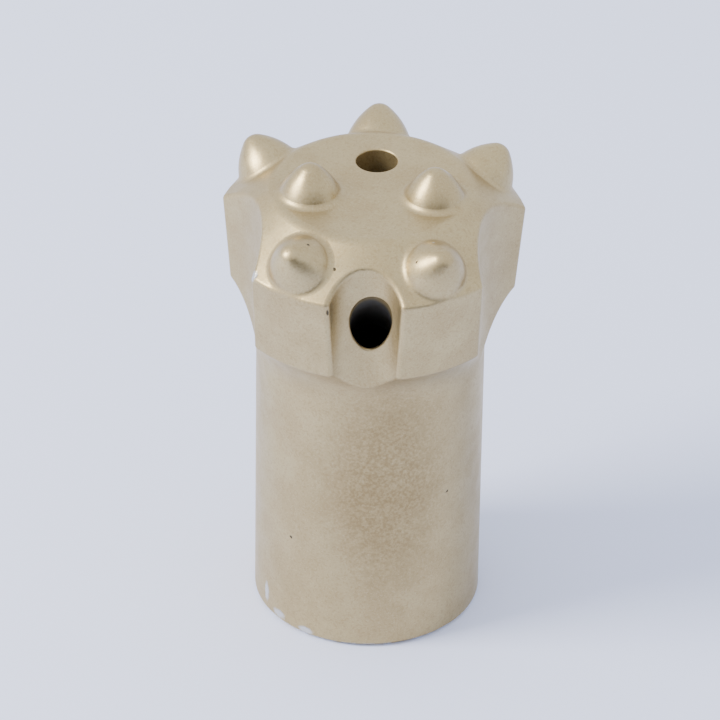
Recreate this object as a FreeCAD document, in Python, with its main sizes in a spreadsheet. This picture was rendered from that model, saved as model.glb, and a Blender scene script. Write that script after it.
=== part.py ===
"""Tapered rock button bit: a steel body with seven pressed-in carbide buttons."""
import FreeCAD, Part
import math
import os

import Sketcher

# The bit stands on the mouth of its skirt: Z runs up its axis, X to its right
# and the chip groove with the side flush hole faces -Y. Angles round the axis
# are counted from -Y towards +X.
SIZES = [
    # steel body, as turned
    ("skirt_radius", 15.5, "outside of the skirt"),
    ("mouth_chamfer", 0.6, "edge break round the open end of the skirt"),
    ("shoulder_height", 47.2, "shoulder, where the flare ends, above the mouth"),
    ("flare_radius", 8.45, "concave sweep from the skirt out to the shoulder"),
    ("gauge_radius", 21.1, "widest circle of the steel head"),
    ("side_height", 12.2, "side of the head, from the shoulder to the widest circle"),
    ("side_relief", 1.38, "how far the side draws in down to the shoulder"),
    ("bevel_height", 5.9, "bevel, from the widest circle to the drilling face"),
    ("face_radius", 13.5, "flat drilling face"),
    ("face_round", 2.4, "soft edge round the drilling face"),
    ("edge_round", 0.7, "soft edges round the head, the flutes and the groove"),
    # socket for the tapered rod
    ("socket_radius", 11.5, "taper socket at the mouth"),
    ("socket_depth", 45.0, "depth to the end of the taper"),
    ("taper_angle", 7.0, "included angle of the taper"),
    ("socket_lead", 0.8, "lead-in chamfer at the mouth"),
    ("drill_tip", 2.2, "cone that the drill leaves at the end"),
    # chip flutes and groove down the side of the head
    ("flute_radius", 18.2, "cutter that makes the two wide flutes"),
    ("flute_angle", 75.3, "flutes to each side of the groove"),
    ("flute_step", 0.05, "floor of the flutes outside the skirt"),
    ("groove_radius", 4.9, "cutter that makes the narrow front groove"),
    ("groove_floor", 16.55, "floor of the groove from the axis"),
    # flush holes
    ("flush_radius", 2.8, "both flush holes"),
    ("top_flush_offset", 6.35, "hole in the face, from the axis"),
    ("top_flush_angle", 178.0, "its place round the axis"),
    ("side_flush_rise", 46.0, "slope of the hole in the groove"),
    ("side_flush_angle", 2.3, "its place round the axis"),
    ("side_flush_height", 7.35, "where it opens in the groove floor, above the shoulder"),
    ("rim_round", 0.3, "soft rims of both flush holes"),
    # carbide buttons
    ("button_radius", 4.2, "shank of every button"),
    ("button_rise", 4.4, "nose above the seat"),
    ("nose_radius", 2.0, "rounded tip"),
    ("flank_radius", 9.4, "bowed flank between tip and shank"),
    ("shank_length", 7.5, "depth of each seat"),
    ("shank_chamfer", 0.6, "bottom edge of the shank"),
    ("foot_fillet", 1.05, "fillet where a button leaves the steel"),
    ("gauge_seat_inset", 3.6, "gauge seats inside the widest circle, on the bevel"),
    ("front_seat_angle", 31.0, "two gauge buttons beside the groove"),
    ("side_seat_angle", 122.0, "two gauge buttons behind the flutes"),
    ("back_seat_angle", 180.0, "gauge button at the back"),
    ("face_seat_inset", 4.9, "two face buttons inside the edge of the face"),
    ("face_seat_angle", 75.2, "face buttons to each side of the groove"),
]

# Sizes that follow from the ones above.
SHOULDER_RADIUS = "(Bit.gauge_radius - Bit.side_relief)"
GAUGE_HEIGHT = "(Bit.shoulder_height + Bit.side_height)"
FACE_HEIGHT = f"({GAUGE_HEIGHT} + Bit.bevel_height)"
BEVEL = "atan(Bit.bevel_height / (Bit.gauge_radius - Bit.face_radius))"
FLARE_STEP = f"({SHOULDER_RADIUS} - Bit.skirt_radius)"
FLARE_START = (
    f"(Bit.shoulder_height - sqrt(2 * Bit.flare_radius * {FLARE_STEP} - {FLARE_STEP} ^ 2))"
)
GAUGE_SEAT_RADIUS = "(Bit.gauge_radius - Bit.gauge_seat_inset)"
GAUGE_SEAT_HEIGHT = f"({GAUGE_HEIGHT} + Bit.gauge_seat_inset * tan({BEVEL}))"
FACE_SEAT_RADIUS = "(Bit.face_radius - Bit.face_seat_inset)"
SOCKET_END = "(Bit.socket_radius - Bit.socket_depth * tan(Bit.taper_angle / 2))"
BLANK_RADIUS = "(Bit.gauge_radius + Bit.button_radius)"
BLANK_TOP = f"({GAUGE_HEIGHT} - Bit.button_radius * tan({BEVEL}))"
# Where the rounded tip runs into the flank, measured in the button.
NOSE_CENTRE = "(Bit.button_rise - Bit.nose_radius)"
SPAN = f"sqrt(Bit.button_radius ^ 2 + {NOSE_CENTRE} ^ 2)"
FOOT_SHARE = (
    f"((Bit.flank_radius ^ 2 - (Bit.flank_radius - Bit.nose_radius) ^ 2 + {SPAN} ^ 2)"
    f" / (2 * {SPAN} ^ 2))"
)
SIDE_SHARE = f"sqrt(Bit.flank_radius ^ 2 / {SPAN} ^ 2 - {FOOT_SHARE} ^ 2)"
FLANK_X = (
    f"(Bit.button_radius * (1 - {FOOT_SHARE}) - {NOSE_CENTRE} * {SIDE_SHARE})"
)
FLANK_Z = f"({NOSE_CENTRE} * {FOOT_SHARE} - Bit.button_radius * {SIDE_SHARE})"
NOSE_SHARE = "(Bit.nose_radius / (Bit.flank_radius - Bit.nose_radius))"
JOIN_X = f"(-{FLANK_X} * {NOSE_SHARE})"
JOIN_Z = f"({NOSE_CENTRE} + ({NOSE_CENTRE} - {FLANK_Z}) * {NOSE_SHARE})"

doc = FreeCAD.newDocument("button_bit")
sheet = doc.addObject("Spreadsheet::Sheet", "Bit")
for row, (alias, size, meaning) in enumerate(SIZES, start=1):
    sheet.set(f"A{row}", meaning)
    sheet.set(f"B{row}", str(size))
    sheet.setAlias(f"B{row}", alias)
doc.recompute()


def value(text):
    """Number that an expression on the sheet gives."""
    result = sheet.evalExpression(text)
    return getattr(result, "Value", result)


def plane(body, role):
    """One of the body's own origin planes."""
    return next(item for item in body.Origin.OriginFeatures if item.Role == role)


def sketch_on(body, role, name, turn=None, lift=None):
    """Sketch on an origin plane, turned round Z or lifted by expressions."""
    sketch = body.newObject("Sketcher::SketchObject", name)
    sketch.AttachmentSupport = [(plane(body, role), "")]
    sketch.MapMode = "FlatFace"
    if turn is not None:
        axis = FreeCAD.Vector(0, 1, 0)
        sketch.AttachmentOffset = FreeCAD.Placement(
            FreeCAD.Vector(), FreeCAD.Rotation(axis, 1)
        )
        sketch.setExpression("AttachmentOffset.Rotation.Angle", f"({turn} - 90) * 1 deg")
    if lift is not None:
        sketch.setExpression("AttachmentOffset.Base.z", lift)
    doc.recompute()
    return sketch


def bind(sketch, constraint, text):
    """Add a dimension whose size is an expression."""
    sketch.setExpression(f"Constraints[{sketch.addConstraint(constraint)}]", text)


def pin(sketch, curve, end, corner):
    """Hold one end of a curve at a corner given by two expressions."""
    for kind, axis, text in (("DistanceX", -2, corner[0]), ("DistanceY", -1, corner[1])):
        if text == "0":
            sketch.addConstraint(Sketcher.Constraint("PointOnObject", curve, end, axis))
        else:
            size = value(text)
            bind(sketch, Sketcher.Constraint(kind, -1, 1, curve, end, size), text)


def arc_between(start, finish, radius, side):
    """Arc from start to finish with its centre to the left (1) or right (-1)."""
    chord = finish - start
    across = FreeCAD.Vector(-chord.y, chord.x, 0).normalize()
    reach = math.sqrt(radius ** 2 - (chord.Length / 2) ** 2)
    centre = (start + finish) / 2 + across * reach * side
    first, last = (start, finish) if side > 0 else (finish, start)
    angles = [math.atan2(p.y - centre.y, p.x - centre.x) for p in (first, last)]
    circle = Part.Circle(centre, FreeCAD.Vector(0, 0, 1), radius)
    return Part.ArcOfCircle(circle, angles[0], angles[1])


def profile(sketch, corners, arcs=None):
    """Closed loop through corners; arcs gives {leg: (radius, side)}."""
    arcs = arcs or {}
    points = [FreeCAD.Vector(value(x), value(y), 0) for x, y in corners]
    ends = []
    for leg, start in enumerate(points):
        finish = points[(leg + 1) % len(points)]
        if leg in arcs:
            radius, side = arcs[leg]
            curve = sketch.addGeometry(arc_between(start, finish, value(radius), side))
            bind(sketch, Sketcher.Constraint("Radius", curve, value(radius)), radius)
            ends.append((curve, 1, 2) if side > 0 else (curve, 2, 1))
        else:
            ends.append((sketch.addGeometry(Part.LineSegment(start, finish)), 1, 2))
    for leg, (curve, first, last) in enumerate(ends):
        follower, follower_first, _ = ends[(leg + 1) % len(ends)]
        sketch.addConstraint(
            Sketcher.Constraint("Coincident", curve, last, follower, follower_first)
        )
        pin(sketch, curve, first, corners[leg])
    doc.recompute()
    return sketch


def along(origin, angle, out, side):
    """Corner reached from origin by going out on a leaning axis, then to its side."""
    return (
        f"({origin[0]} + ({out}) * sin({angle}) + ({side}) * cos({angle}))",
        f"({origin[1]} + ({out}) * cos({angle}) - ({side}) * sin({angle}))",
    )


def axis_line(sketch, start, finish):
    """Construction line that a profile turns about."""
    points = [FreeCAD.Vector(value(x), value(y), 0) for x, y in (start, finish)]
    line = sketch.addGeometry(Part.LineSegment(*points), True)
    pin(sketch, line, 1, start)
    pin(sketch, line, 2, finish)
    doc.recompute()


def turned(body, kind, name, sketch, axis="V_Axis"):
    """Revolution or Groove of a sketch, all the way round."""
    feature = body.newObject(f"PartDesign::{kind}", name)
    feature.Profile = sketch
    feature.ReferenceAxis = (sketch, [axis])
    feature.Angle = 360
    doc.recompute()
    return feature


SHANK = [
    ("0", "-Bit.shank_length"),
    ("Bit.button_radius - Bit.shank_chamfer", "-Bit.shank_length"),
    ("Bit.button_radius", "Bit.shank_chamfer - Bit.shank_length"),
    ("Bit.button_radius", "0"),
]
ROOT = [
    ("0", "-Bit.nose_radius / 2"),
    (
        f"{FLANK_X} + sqrt(Bit.flank_radius ^ 2 - ({FLANK_Z} + Bit.nose_radius / 2) ^ 2)",
        "-Bit.nose_radius / 2",
    ),
]


def button_profile(sketch, bottom, place=("0", "0"), lean="0"):
    """Half outline of a button: a bottom, its bowed flank and its rounded tip."""
    outline = bottom + [(JOIN_X, JOIN_Z), ("0", "Bit.button_rise")]
    flank = len(bottom) - 1
    arcs = {flank: ("Bit.flank_radius", 1), flank + 1: ("Bit.nose_radius", 1)}
    return profile(sketch, [along(place, lean, out, side) for side, out in outline], arcs)


def checked(feature, sign):
    """The feature, once its solid has grown (1) or shrunk (-1) as it should."""
    change = feature.Shape.Volume - feature.BaseFeature.Shape.Volume
    if change * sign <= 0:
        raise RuntimeError(f"{feature.Label} changed the volume by {change:.3f}")
    print(f"{feature.Label}: {change:+.1f} mm3")
    return feature


def at_angle(reach, turn):
    """Place in a flat sketch at a reach from the axis and an angle round it."""
    return (f"{reach} * sin({turn})", f"-{reach} * cos({turn})")


def round_cut(body, name, centre, radius, lift, depth=None):
    """Upright round cutter: up through all from its sketch, or down by a depth."""
    sketch = sketch_on(body, "XY_Plane", f"{name}_profile", lift=lift)
    spot = FreeCAD.Vector(value(centre[0]), value(centre[1]), 0)
    circle = Part.Circle(spot, FreeCAD.Vector(0, 0, 1), value(radius))
    curve = sketch.addGeometry(circle)
    bind(sketch, Sketcher.Constraint("Radius", curve, value(radius)), radius)
    pin(sketch, curve, 3, centre)
    doc.recompute()
    pocket = body.newObject("PartDesign::Pocket", name)
    pocket.Profile = sketch
    pocket.Type = "ThroughAll" if depth is None else "Length"
    pocket.Reversed = depth is None
    if depth is not None:
        pocket.setExpression("Length", depth)
    doc.recompute()
    return checked(pocket, -1)


CLOSE = 0.02


def on_upright(centre, radius):
    """Test for points on an upright round wall."""
    x, y = value(centre[0]), value(centre[1])
    size = value(radius)
    return lambda point: abs(math.hypot(point.x - x, point.y - y) - size) < CLOSE


def on_leaning(place, lean, turn, radius):
    """Test for points on a round wall about a leaning axis."""
    placement = sheet.evalExpression(seat_placement(place, lean, turn))
    back = placement.inverse()
    size = value(radius)

    def test(point):
        local = back.multVec(point)
        return abs(math.hypot(local.x, local.y) - size) < CLOSE

    return test


def at_height(height):
    """Test for points at one height."""
    level = value(height)
    return lambda point: abs(point.z - level) < CLOSE


def edges_where(shape, *tests):
    """Names of the edges whose points, taken along their length, pass every test."""
    names = []
    for number, edge in enumerate(shape.Edges, start=1):
        span = edge.LastParameter - edge.FirstParameter
        points = [edge.valueAt(edge.FirstParameter + span * part / 8) for part in range(9)]
        if all(test(point) for test in tests for point in points):
            names.append(f"Edge{number}")
    return names


def rounded(body, name, edges, radius, sign):
    """Fillet on named edges of the body's last feature."""
    base = body.Tip
    fillet = body.newObject("PartDesign::Fillet", name)
    fillet.Base = (base, edges)
    fillet.setExpression("Radius", radius)
    doc.recompute()
    return checked(fillet, sign)


GAUGE_SEAT = (GAUGE_SEAT_RADIUS, GAUGE_SEAT_HEIGHT)
FACE_SEAT = (FACE_SEAT_RADIUS, FACE_HEIGHT)
SEATS = {
    "gauge_button_front_left": (GAUGE_SEAT, BEVEL, "-Bit.front_seat_angle"),
    "gauge_button_front_right": (GAUGE_SEAT, BEVEL, "Bit.front_seat_angle"),
    "gauge_button_side_left": (GAUGE_SEAT, BEVEL, "-Bit.side_seat_angle"),
    "gauge_button_side_right": (GAUGE_SEAT, BEVEL, "Bit.side_seat_angle"),
    "gauge_button_back": (GAUGE_SEAT, BEVEL, "Bit.back_seat_angle"),
    "face_button_left": (FACE_SEAT, "0", "-Bit.face_seat_angle"),
    "face_button_right": (FACE_SEAT, "0", "Bit.face_seat_angle"),
}


def seat_placement(place, lean, turn):
    """Expression for the placement of a button whose foot is at its seat."""
    return (
        "create(<<placement>>; create(<<vector>>; "
        f"{place[0]} * sin({turn}); -{place[0]} * cos({turn}); {place[1]}); "
        f"create(<<rotation>>; {turn} - 90; {lean}; 0))"
    )


def make_button(name, seat):
    """Carbide button, turned about its own axis and stood in its seat."""
    button = doc.addObject("PartDesign::Body", name)
    button.Label = name
    sketch = button_profile(sketch_on(button, "XZ_Plane", f"{name}_profile"), SHANK)
    turned(button, "Revolution", f"{name}_turned", sketch)
    button.setExpression("Placement", seat_placement(*seat))
    doc.recompute()
    return button


def in_seat(seat, bottom, body, name):
    """Button outline drawn where its seat is, with its leaning axis."""
    place, lean, turn = seat
    sketch = sketch_on(body, "XZ_Plane", name, turn=turn)
    button_profile(sketch, bottom, place, lean)
    axis_line(
        sketch,
        along(place, lean, "-Bit.shank_length", "0"),
        along(place, lean, "Bit.button_rise", "0"),
    )
    return sketch


def near_a_foot(point):
    """Whether a point lies where a button's flank meets the steel."""
    for place, lean, turn in SEATS.values():
        placement = sheet.evalExpression(seat_placement(place, lean, turn))
        local = placement.inverse().multVec(point)
        off = math.hypot(local.x, local.y) - value("Bit.button_radius")
        if abs(off) < 0.4 and -1 < local.z < 0.1:
            return True
    return False


body = doc.addObject("PartDesign::Body", "bit_body")
body.Label = "bit_body"

# The blank: skirt, flare and bevelled head, with stock left round the head.
blank_profile = profile(
    sketch_on(body, "XZ_Plane", "blank_profile"),
    [
        ("0", "0"),
        ("Bit.skirt_radius - Bit.mouth_chamfer", "0"),
        ("Bit.skirt_radius", "Bit.mouth_chamfer"),
        ("Bit.skirt_radius", FLARE_START),
        (SHOULDER_RADIUS, "Bit.shoulder_height"),
        (BLANK_RADIUS, "Bit.shoulder_height"),
        (BLANK_RADIUS, BLANK_TOP),
        ("Bit.face_radius", FACE_HEIGHT),
        ("0", FACE_HEIGHT),
    ],
    {3: ("Bit.flare_radius", -1)},
)
turned(body, "Revolution", "blank", blank_profile)

# Steel is raised round every button in a small fillet. It is made on the shape
# of the button heads, which the seats then cut away again.
for name, seat in SEATS.items():
    sketch = in_seat(seat, ROOT, body, f"{name}_boss_profile")
    checked(turned(body, "Revolution", f"{name}_boss", sketch, "Axis0"), 1)
rounded(body, "foot_fillets", edges_where(body.Shape, near_a_foot), "Bit.foot_fillet", 1)
for name, seat in SEATS.items():
    sketch = in_seat(seat, SHANK, body, f"{name}_seat_profile")
    checked(turned(body, "Groove", f"{name}_seat", sketch, "Axis0"), -1)

# The stock is turned off, which leaves the tapered side. The tool runs on past
# the widest circle along the same slope, clear of the buttons.
TURNING_TOP = "(Bit.shoulder_height + 2 * Bit.side_height)"
side_profile = profile(
    sketch_on(body, "XZ_Plane", "side_profile"),
    [
        (SHOULDER_RADIUS, "Bit.shoulder_height"),
        (f"2 * {BLANK_RADIUS}", "Bit.shoulder_height"),
        (f"2 * {BLANK_RADIUS}", TURNING_TOP),
        ("Bit.gauge_radius + Bit.side_relief", TURNING_TOP),
    ],
)
checked(turned(body, "Groove", "side_turning", side_profile), -1)

# Taper socket for the rod, with the cone that the drill left at its end.
socket_profile = profile(
    sketch_on(body, "XZ_Plane", "socket_profile"),
    [
        ("0", "0"),
        ("Bit.socket_radius + Bit.socket_lead", "0"),
        ("Bit.socket_radius", "Bit.socket_lead"),
        (SOCKET_END, "Bit.socket_depth"),
        ("0", "Bit.socket_depth + Bit.drill_tip"),
    ],
)
checked(turned(body, "Groove", "socket", socket_profile), -1)

# Two wide flutes and the narrow groove, cut parallel to the axis. They run out
# on the flare.
FLUTE_REACH = "(Bit.skirt_radius + Bit.flute_step + Bit.flute_radius)"
GROOVE_REACH = "(Bit.groove_floor + Bit.groove_radius)"
CUTTERS = {
    "flute_left": (at_angle(FLUTE_REACH, "-Bit.flute_angle"), "Bit.flute_radius"),
    "flute_right": (at_angle(FLUTE_REACH, "Bit.flute_angle"), "Bit.flute_radius"),
    "chip_groove": (at_angle(GROOVE_REACH, "0"), "Bit.groove_radius"),
}
for name, (centre, radius) in CUTTERS.items():
    round_cut(body, name, centre, radius, FLARE_START)

# Every edge on the outside of the head is soft.
head_edges = []
for radius, height in (
    (SHOULDER_RADIUS, "Bit.shoulder_height"),
    ("Bit.gauge_radius", GAUGE_HEIGHT),
):
    head_edges += edges_where(body.Shape, on_upright(("0", "0"), radius), at_height(height))
for centre, radius in CUTTERS.values():
    head_edges += edges_where(body.Shape, on_upright(centre, radius))
rounded(body, "head_rounds", sorted(set(head_edges)), "Bit.edge_round", -1)
face_edge = edges_where(
    body.Shape, on_upright(("0", "0"), "Bit.face_radius"), at_height(FACE_HEIGHT)
)
rounded(body, "face_edge_round", face_edge, "Bit.face_round", -1)

# Flush holes: one straight down through the face, one up from the socket into
# the groove.
TOP_FLUSH = at_angle("Bit.top_flush_offset", "Bit.top_flush_angle")
round_cut(
    body,
    "top_flush_hole",
    TOP_FLUSH,
    "Bit.flush_radius",
    FACE_HEIGHT,
    f"{FACE_HEIGHT} - Bit.socket_depth",
)
FLUSH_LEAN = "(90 - Bit.side_flush_rise)"
FLUSH_START = (
    "0",
    "(Bit.shoulder_height + Bit.side_flush_height"
    " - Bit.groove_floor * tan(Bit.side_flush_rise))",
)
FLUSH_LENGTH = f"{GROOVE_REACH} / cos(Bit.side_flush_rise)"
flush_corners = [
    ("0", "0"),
    ("0", "Bit.flush_radius"),
    (FLUSH_LENGTH, "Bit.flush_radius"),
    (FLUSH_LENGTH, "0"),
]
flush_profile = profile(
    sketch_on(body, "XZ_Plane", "side_flush_profile", turn="Bit.side_flush_angle"),
    [along(FLUSH_START, FLUSH_LEAN, out, side) for out, side in flush_corners],
)
axis_line(flush_profile, FLUSH_START, along(FLUSH_START, FLUSH_LEAN, FLUSH_LENGTH, "0"))
checked(turned(body, "Groove", "side_flush_hole", flush_profile, "Axis0"), -1)
top_rim = edges_where(
    body.Shape, on_upright(TOP_FLUSH, "Bit.flush_radius"), at_height(FACE_HEIGHT)
)
side_rim = edges_where(
    body.Shape,
    on_leaning(FLUSH_START, FLUSH_LEAN, "Bit.side_flush_angle", "Bit.flush_radius"),
    on_upright(*CUTTERS["chip_groove"]),
)
rounded(body, "flush_rims", top_rim + side_rim, "Bit.rim_round", -1)

buttons = [make_button(name, seat) for name, seat in SEATS.items()]

for item in doc.Objects:
    if "Invalid" in item.State or "Error" in item.State:
        raise RuntimeError(f"{item.Label} did not build")
os.makedirs("parts", exist_ok=True)
for piece in [body] + buttons:
    if piece.Shape.isNull() or not piece.Shape.isValid():
        raise RuntimeError(f"{piece.Label} is not a valid solid")
    piece.Shape.exportStep(f"parts/{piece.Label}.step")
    print(f"{piece.Label}: {piece.Shape.Volume:.0f} mm3, {len(piece.Shape.Solids)} solid")
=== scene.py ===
# %% [markdown]
# # Button drill bit in champagne paint
#
# The bit is a turned and milled steel body with seven carbide buttons pressed
# into its head. After the buttons were in, the whole bit was sprayed with a
# satin champagne-gold metallic paint, so steel and carbide have one colour.
# The solids already carry every form, down to the soft edges. This lesson gives
# them the paint, its flaws and its wear, and then a small photo studio.

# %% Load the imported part
import math

import bpy
from mathutils import Matrix, Vector

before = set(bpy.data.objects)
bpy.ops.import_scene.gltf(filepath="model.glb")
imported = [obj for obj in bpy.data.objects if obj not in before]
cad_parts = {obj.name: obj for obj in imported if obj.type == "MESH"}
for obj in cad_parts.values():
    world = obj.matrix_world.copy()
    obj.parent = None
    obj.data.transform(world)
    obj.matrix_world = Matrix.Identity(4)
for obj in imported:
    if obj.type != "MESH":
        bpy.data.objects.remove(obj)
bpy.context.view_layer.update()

# %% [markdown]
# ## Tools of the bench
#
# Paint makers give colours as sRGB codes, and the shaders want linear light, so
# one function turns the first into the second. A second one adds a shader node
# with its settings and links in a single line. All patterns are measured in
# millimetres on the part itself, which keeps them still from every side.

# %% Helpers for colours and shader nodes
MM = 0.001


def colour(code):
    """Linear colour of an sRGB code such as #cbbc9b."""
    shares = [int(code[at : at + 2], 16) / 255 for at in (1, 3, 5)]
    linear = [s / 12.92 if s <= 0.04045 else ((s + 0.055) / 1.055) ** 2.4 for s in shares]
    return (*linear, 1.0)


def add(tree, kind, settings=None, feeds=None, out=0):
    """Output of a new node; a feed is a plain value or another node's output."""
    node = tree.nodes.new(f"ShaderNode{kind}")
    for name, setting in (settings or {}).items():
        setattr(node, name, setting)
    for socket, feed in (feeds or {}).items():
        if isinstance(feed, bpy.types.NodeSocket):
            tree.links.new(feed, node.inputs[socket])
        else:
            node.inputs[socket].default_value = feed
    return node.outputs[out]


def sum_of(tree, first, second, operation="ADD"):
    """Two numbers put together by one operation."""
    return add(tree, "Math", {"operation": operation}, {0: first, 1: second})


def blend(tree, amount, under, over, mode="MIX"):
    """One colour laid over another by an amount."""
    settings = {"data_type": "RGBA", "blend_type": mode}
    return add(tree, "Mix", settings, {0: amount, 6: under, 7: over}, out=2)


def slope(tree, number, start, finish, low=0.0, high=1.0):
    """Number eased from low to high while it goes from start to finish."""
    feeds = {0: number, 1: start, 2: finish, 3: low, 4: high}
    return add(tree, "MapRange", {"interpolation_type": "SMOOTHSTEP"}, feeds)


def clouds(tree, place, size, detail=2.0, out=0):
    """Soft random pattern whose spots are about size millimetres across."""
    return add(tree, "TexNoise", None, {"Vector": place, "Scale": 1 / size, "Detail": detail}, out)


def millimetres(tree):
    """Place on the part in millimetres."""
    place = add(tree, "TexCoord", out=3)
    return add(tree, "VectorMath", {"operation": "SCALE"}, {0: place, "Scale": 1 / MM})


def uneven(tree, place, size, reach):
    """The same place, pushed about by up to reach millimetres."""
    push = add(
        tree,
        "VectorMath",
        {"operation": "SUBTRACT"},
        {0: clouds(tree, place, size, out=1), 1: (0.5, 0.5, 0.5)},
    )
    push = add(tree, "VectorMath", {"operation": "SCALE"}, {0: push, "Scale": 2 * reach})
    return add(tree, "VectorMath", {"operation": "ADD"}, {0: place, 1: push})


def away(tree, place, centre, shape=(1, 1, 1)):
    """Distance from a centre; a shape number below 1 stretches it along an axis."""
    reach = add(tree, "VectorMath", {"operation": "SUBTRACT"}, {0: place, 1: centre})
    reach = add(tree, "VectorMath", {"operation": "MULTIPLY"}, {0: reach, 1: shape})
    return add(tree, "VectorMath", {"operation": "LENGTH"}, {0: reach}, out=1)


def from_line(tree, place, start, direction):
    """Distance from a straight line through start."""
    reach = add(tree, "VectorMath", {"operation": "SUBTRACT"}, {0: place, 1: start})
    across = add(tree, "VectorMath", {"operation": "CROSS_PRODUCT"}, {0: reach, 1: direction})
    return add(tree, "VectorMath", {"operation": "LENGTH"}, {0: across}, out=1)


# %% [markdown]
# ## Marks
#
# A sprayed tool that has been handled and packed loose with others has small
# flaws: pinholes where a grain of dirt sat, rubbed patches where the paint is
# thin, and knocks at its corners. Each is a soft-edged blot round a point.

# %% Blots round given points
def blots(tree, place, spots):
    """Largest of several soft blots, each a centre, a radius and a shape."""
    total = 0.0
    for centre, radius, shape in spots:
        spot = slope(tree, away(tree, place, centre, shape), radius, radius * 0.45)
        total = sum_of(tree, total, spot, "MAXIMUM")
    return total


ROUND = (1, 1, 1)
PINHOLES = [
    ((-4.19, -16.38, 62.65), 0.28, ROUND),
    ((-7.83, -15.41, 65.63), 0.26, ROUND),
    ((6.59, -16.62, 64.39), 0.22, ROUND),
    ((-9.94, -11.86, 15.5), 0.32, ROUND),
    ((11.15, -10.74, 23.4), 0.3, ROUND),
    ((-4.87, -20.17, 58.3), 0.3, (1, 1, 0.5)),
    ((14.6, 5.2, 31.0), 0.3, ROUND),
    ((-6.2, 14.2, 41.0), 0.35, ROUND),
]
KNOCKS = [
    ((-15.14, -14.16, 59.57), 0.85, (1, 1, 0.8)),
    ((-13.42, -7.67, 3.2), 0.7, (1, 1, 0.35)),
    ((-11.6, -10.2, 1.3), 0.8, (0.5, 0.5, 1)),
    ((-7.83, -13.37, 1.0), 0.7, (0.35, 0.7, 1)),
    ((12.9, 8.6, 0.9), 0.7, (0.5, 0.5, 1)),
    ((8.56, -13.8, 65.62), 0.24, ROUND),
]

# %% [markdown]
# ## The paint
#
# Champagne paint is a clear binder full of fine aluminium and mica flakes. It
# acts as a rough metal: a warm body colour, a broad highlight, and a grain of
# flakes a fifth of a millimetre across that lie at slightly different angles.
# Spraying leaves a faint orange peel about a millimetre wide, and the coat is
# thicker in some clouds than in others, which shifts its colour a little.

# %% Paint colour, gloss and relief
PAINT = colour("#b5a277")
PALE_PAINT = colour("#c6b793")
DEEP_PAINT = colour("#9a8359")
BROWN_PAINT = colour("#836d46")
FLAKE = 0.2
PEEL = 1.3


def sprayed(tree, place):
    """Colour of the coat: thick and thin clouds with flakes in them."""
    coat = slope(tree, clouds(tree, place, 6.0, 3), 0.35, 0.65)
    paint = blend(tree, sum_of(tree, coat, 0.3, "MULTIPLY"), PAINT, DEEP_PAINT)
    flakes = slope(tree, clouds(tree, place, FLAKE, 1), 0.52, 0.72)
    paint = blend(tree, sum_of(tree, flakes, 0.35, "MULTIPLY"), paint, PALE_PAINT)
    gaps = slope(tree, clouds(tree, uneven(tree, place, 3.0, 1.0), FLAKE * 1.7, 1), 0.5, 0.3)
    return blend(tree, sum_of(tree, gaps, 0.4, "MULTIPLY"), paint, DEEP_PAINT)


def relief(tree, place, depth_of_marks):
    """Bumps of flakes, orange peel and marks, one laid on the other."""
    grain = clouds(tree, place, FLAKE, 1)
    normal = add(tree, "Bump", None, {"Strength": 1, "Distance": 0.004 * MM, "Height": grain})
    peel = clouds(tree, place, PEEL, 2)
    feeds = {"Strength": 1, "Distance": 0.02 * MM, "Height": peel, "Normal": normal}
    normal = add(tree, "Bump", None, feeds)
    feeds = {"Strength": 1, "Distance": 0.08 * MM, "Height": depth_of_marks, "Normal": normal}
    return add(tree, "Bump", {"invert": True}, feeds)


# %% [markdown]
# ## Bare steel inside
#
# The spray reaches only the first millimetres of the socket and of the flush
# holes. Further in there is turned and drilled steel under a film of dark
# oil. The socket is a cone, so its wall is found by how far a point is from the
# axis at its height, and each hole by how far a point is from its own axis.

# %% Where the paint stops
SOCKET_MOUTH = 12.4
SOCKET_LEAN = math.tan(math.radians(3.5))
SOCKET_TOP = 47.4
HOLE = 3.0
TOP_HOLE = ((0.222, 6.346, 60.0), (0, 0, 1))
RISE = math.radians(46)
TURN = math.radians(2.3)
SIDE_HOLE = (
    (0.0, 0.0, 37.41),
    (math.cos(RISE) * math.sin(TURN), -math.cos(RISE) * math.cos(TURN), math.sin(RISE)),
)


def inside(tree, place):
    """How far inside the bit a point is: 1 on bare walls, 0 on painted ones."""
    ragged = uneven(tree, place, 0.8, 0.5)
    parts = add(tree, "SeparateXYZ", None, {0: ragged}).node.outputs
    height = parts[2]
    axis = add(tree, "VectorMath", {"operation": "MULTIPLY"}, {0: place, 1: (1, 1, 0)})
    radius = add(tree, "VectorMath", {"operation": "LENGTH"}, {0: axis}, out=1)
    plain_height = add(tree, "SeparateXYZ", None, {0: place}).node.outputs[2]
    wall = sum_of(tree, radius, sum_of(tree, plain_height, SOCKET_LEAN, "MULTIPLY"))
    socket = sum_of(
        tree,
        slope(tree, wall, SOCKET_MOUTH, SOCKET_MOUTH - 0.2),
        slope(tree, plain_height, SOCKET_TOP + 0.3, SOCKET_TOP),
        "MULTIPLY",
    )
    socket = sum_of(tree, socket, slope(tree, height, 2.0, 5.0), "MULTIPLY")
    top = slope(tree, from_line(tree, place, *TOP_HOLE), HOLE + 0.1, HOLE - 0.1)
    top = sum_of(tree, top, slope(tree, height, 60.5, 56.0), "MULTIPLY")
    side = slope(tree, from_line(tree, place, *SIDE_HOLE), HOLE + 0.1, HOLE - 0.1)
    out_by = add(tree, "VectorMath", {"operation": "LENGTH"}, {0: axis}, out=1)
    side = sum_of(tree, side, slope(tree, out_by, 16.4, 14.6), "MULTIPLY")
    depth = add(tree, "SeparateXYZ", None, {0: place}, out=1)
    side = sum_of(tree, side, slope(tree, depth, -2.0, -4.0), "MULTIPLY")
    return sum_of(tree, socket, sum_of(tree, top, side, "MAXIMUM"), "MAXIMUM")


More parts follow.
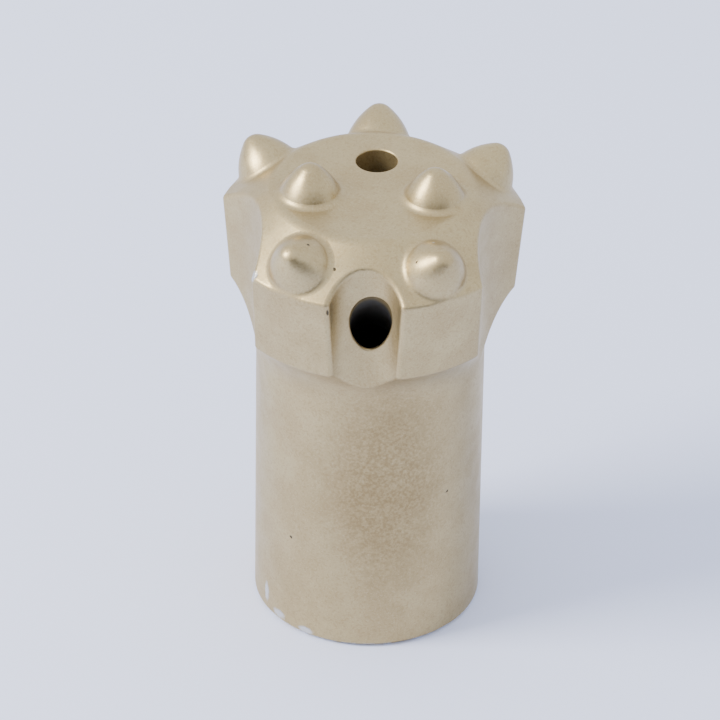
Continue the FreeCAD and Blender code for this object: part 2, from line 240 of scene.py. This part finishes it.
# %% [markdown]
# ## Painted steel
#
# On the body the coat is darker, browner and uneven over the front middle of the
# skirt, and rubbed thin round the edge of the mouth, on which the bit stands.
# Knocks show bright metal, and pinholes are dark.

# %% Finish of the body
BARE_STEEL = colour("#c9c8c4")
OILED_STEEL = colour("#5a5854")
DIRT = colour("#4d4434")


def new_material(name):
    """Empty material with one main shader, and its node tree."""
    material = bpy.data.materials.new(name)
    material.use_nodes = True
    return material, material.node_tree, material.node_tree.nodes["Principled BSDF"]


def painted_steel():
    """Champagne paint over steel, with its wear and bare insides."""
    material, tree, shader = new_material("champagne_paint_on_steel")
    place = millimetres(tree)
    ragged = uneven(tree, place, 0.7, 0.3)
    height = add(tree, "SeparateXYZ", None, {0: ragged}).node.outputs[2]

    paint = sprayed(tree, place)
    patch = slope(tree, away(tree, ragged, (3.0, -15.5, 27.0), (1, 1, 0.5)), 13.0, 3.0)
    mottle = slope(tree, clouds(tree, place, 0.45, 3), 0.3, 0.7, 0.3, 0.75)
    patch = sum_of(tree, patch, mottle, "MULTIPLY")
    paint = blend(tree, patch, paint, BROWN_PAINT)

    pinholes = blots(tree, ragged, PINHOLES)
    paint = blend(tree, pinholes, paint, DIRT)
    rubbed = slope(tree, height, 0.75, 0.2)
    rubbed = sum_of(tree, rubbed, slope(tree, clouds(tree, place, 1.5, 3), 0.42, 0.6), "MULTIPLY")
    knocks = sum_of(tree, blots(tree, ragged, KNOCKS), rubbed, "MAXIMUM")
    paint = blend(tree, knocks, paint, BARE_STEEL)

    bare = inside(tree, place)
    film = slope(tree, clouds(tree, place, 2.5, 4), 0.35, 0.7)
    steel = blend(tree, sum_of(tree, film, 0.6, "MULTIPLY"), OILED_STEEL, DIRT)
    tree.links.new(blend(tree, bare, paint, steel), shader.inputs["Base Color"])

    gloss = slope(tree, clouds(tree, place, 3.0, 2), 0.3, 0.7, 0.38, 0.46)
    gloss = sum_of(tree, gloss, sum_of(tree, knocks, 0.1, "MULTIPLY"), "SUBTRACT")
    tree.links.new(gloss, shader.inputs["Roughness"])
    metal = sum_of(tree, 0.9, sum_of(tree, bare, 0.6, "MULTIPLY"), "SUBTRACT")
    tree.links.new(metal, shader.inputs["Metallic"])
    marks = sum_of(tree, pinholes, knocks, "MAXIMUM")
    tree.links.new(relief(tree, place, marks), shader.inputs["Normal"])
    return material


# %% [markdown]
# ## Painted carbide
#
# The buttons are ground and tumbled before they are pressed in, so the paint
# lies smoother on them and shines a little more than on the milled steel.

# %% Finish of the buttons
def painted_carbide():
    """Champagne paint over polished carbide."""
    material, tree, shader = new_material("champagne_paint_on_carbide")
    place = millimetres(tree)
    ragged = uneven(tree, place, 0.5, 0.1)
    pinholes = blots(tree, ragged, PINHOLES[1:3])
    knocks = blots(tree, ragged, KNOCKS[-1:])
    paint = blend(tree, pinholes, sprayed(tree, place), DIRT)
    paint = blend(tree, knocks, paint, BARE_STEEL)
    tree.links.new(paint, shader.inputs["Base Color"])
    gloss = slope(tree, clouds(tree, place, 2.0, 2), 0.3, 0.7, 0.32, 0.4)
    tree.links.new(gloss, shader.inputs["Roughness"])
    shader.inputs["Metallic"].default_value = 0.9
    marks = sum_of(tree, pinholes, knocks, "MAXIMUM")
    tree.links.new(relief(tree, place, marks), shader.inputs["Normal"])
    return material


# %% [markdown]
# ## Painting the bit
#
# The body takes the paint for steel and each button the paint for carbide.

# %% Give each solid its paint
steel_paint = painted_steel()
carbide_paint = painted_carbide()
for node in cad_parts:
    piece = bpy.data.objects[node]
    finish = steel_paint if node == "bit_body" else carbide_paint
    for slot in piece.material_slots:
        slot.material = finish
    print(node, "->", finish.name)

# %% [markdown]
# ## Studio
#
# The bit stands on a matt, pale bluish-white board. The light is soft: a white
# room all round, one large lamp high on the left, and a darker side where the
# photographer stands, which gives the metal its dark bands. That dark side is a
# card that only reflections can see.

# %% Board
bpy.ops.mesh.primitive_plane_add(size=5, location=(0, 0, 0))
board = bpy.context.object
board.name = "board"
board_finish, board_tree, board_shader = new_material("matt_board")
board_shader.inputs["Base Color"].default_value = colour("#dde3fa")
board_shader.inputs["Roughness"].default_value = 0.9
board.data.materials.append(board_finish)

# %% Dark side of the room
bpy.ops.mesh.primitive_plane_add(size=1, location=(0.35, -1.25, 0.36))
card = bpy.context.object
card.name = "dark_card"
card.scale = (2.2, 0.75, 1)
card.rotation_euler = (math.radians(90), 0, math.radians(12))
card.visible_camera = False
card.visible_diffuse = False
card.visible_shadow = False
card_finish, card_tree, card_shader = new_material("black_card")
card_shader.inputs["Base Color"].default_value = colour("#2a2a2c")
card_shader.inputs["Roughness"].default_value = 0.9
card.data.materials.append(card_finish)

# %% Room light and lamp
room = bpy.data.worlds.new("white_room")
bpy.context.scene.world = room
room.use_nodes = True
room_light = room.node_tree.nodes["Background"]
room_light.inputs["Color"].default_value = (0.82, 0.87, 1.0, 1)
room_light.inputs["Strength"].default_value = 1.75


def lamp(name, place, size, power, tint):
    """Large soft lamp that points at the middle of the bit."""
    bpy.ops.object.light_add(type="AREA", location=place)
    light = bpy.context.object
    light.name = name
    light.data.shape = "RECTANGLE"
    light.data.size, light.data.size_y = size
    light.data.energy = power
    light.data.color = tint
    aim = Vector((0, 0, 0.035)) - Vector(place)
    light.rotation_euler = aim.to_track_quat("-Z", "Y").to_euler()
    return light


lamp("left_lamp", (-0.69, -0.2, 0.6), (0.34, 0.45), 13.0, (1.0, 0.98, 0.94))

# %% [markdown]
# ## Camera
#
# A long lens looks down on the bit from the front at 34 degrees, so the drilling
# face, the groove and the skirt all show with little perspective.

# %% Camera
def camera_at(place, forward, roll, focal):
    """Camera at a place in millimetres whose view runs along forward."""
    ahead = Vector(forward).normalized()
    level = ahead.cross(Vector((0, 0, 1))).normalized()
    up = level.cross(ahead)
    right = level * math.cos(roll) - up * math.sin(roll)
    top = level * math.sin(roll) + up * math.cos(roll)
    lens = bpy.data.cameras.new("camera")
    lens.lens = focal
    lens.sensor_width = 36
    lens.clip_start = 0.01
    camera = bpy.data.objects.new("camera", lens)
    axes = Matrix((right, top, -ahead)).transposed().to_4x4()
    camera.matrix_world = Matrix.Translation(Vector(place) * MM) @ axes
    bpy.context.scene.collection.objects.link(camera)
    bpy.context.scene.camera = camera


camera_at((27.875, -728.464, 536.307), (-0.0331, 0.8244, -0.565), math.radians(-0.88), 325)
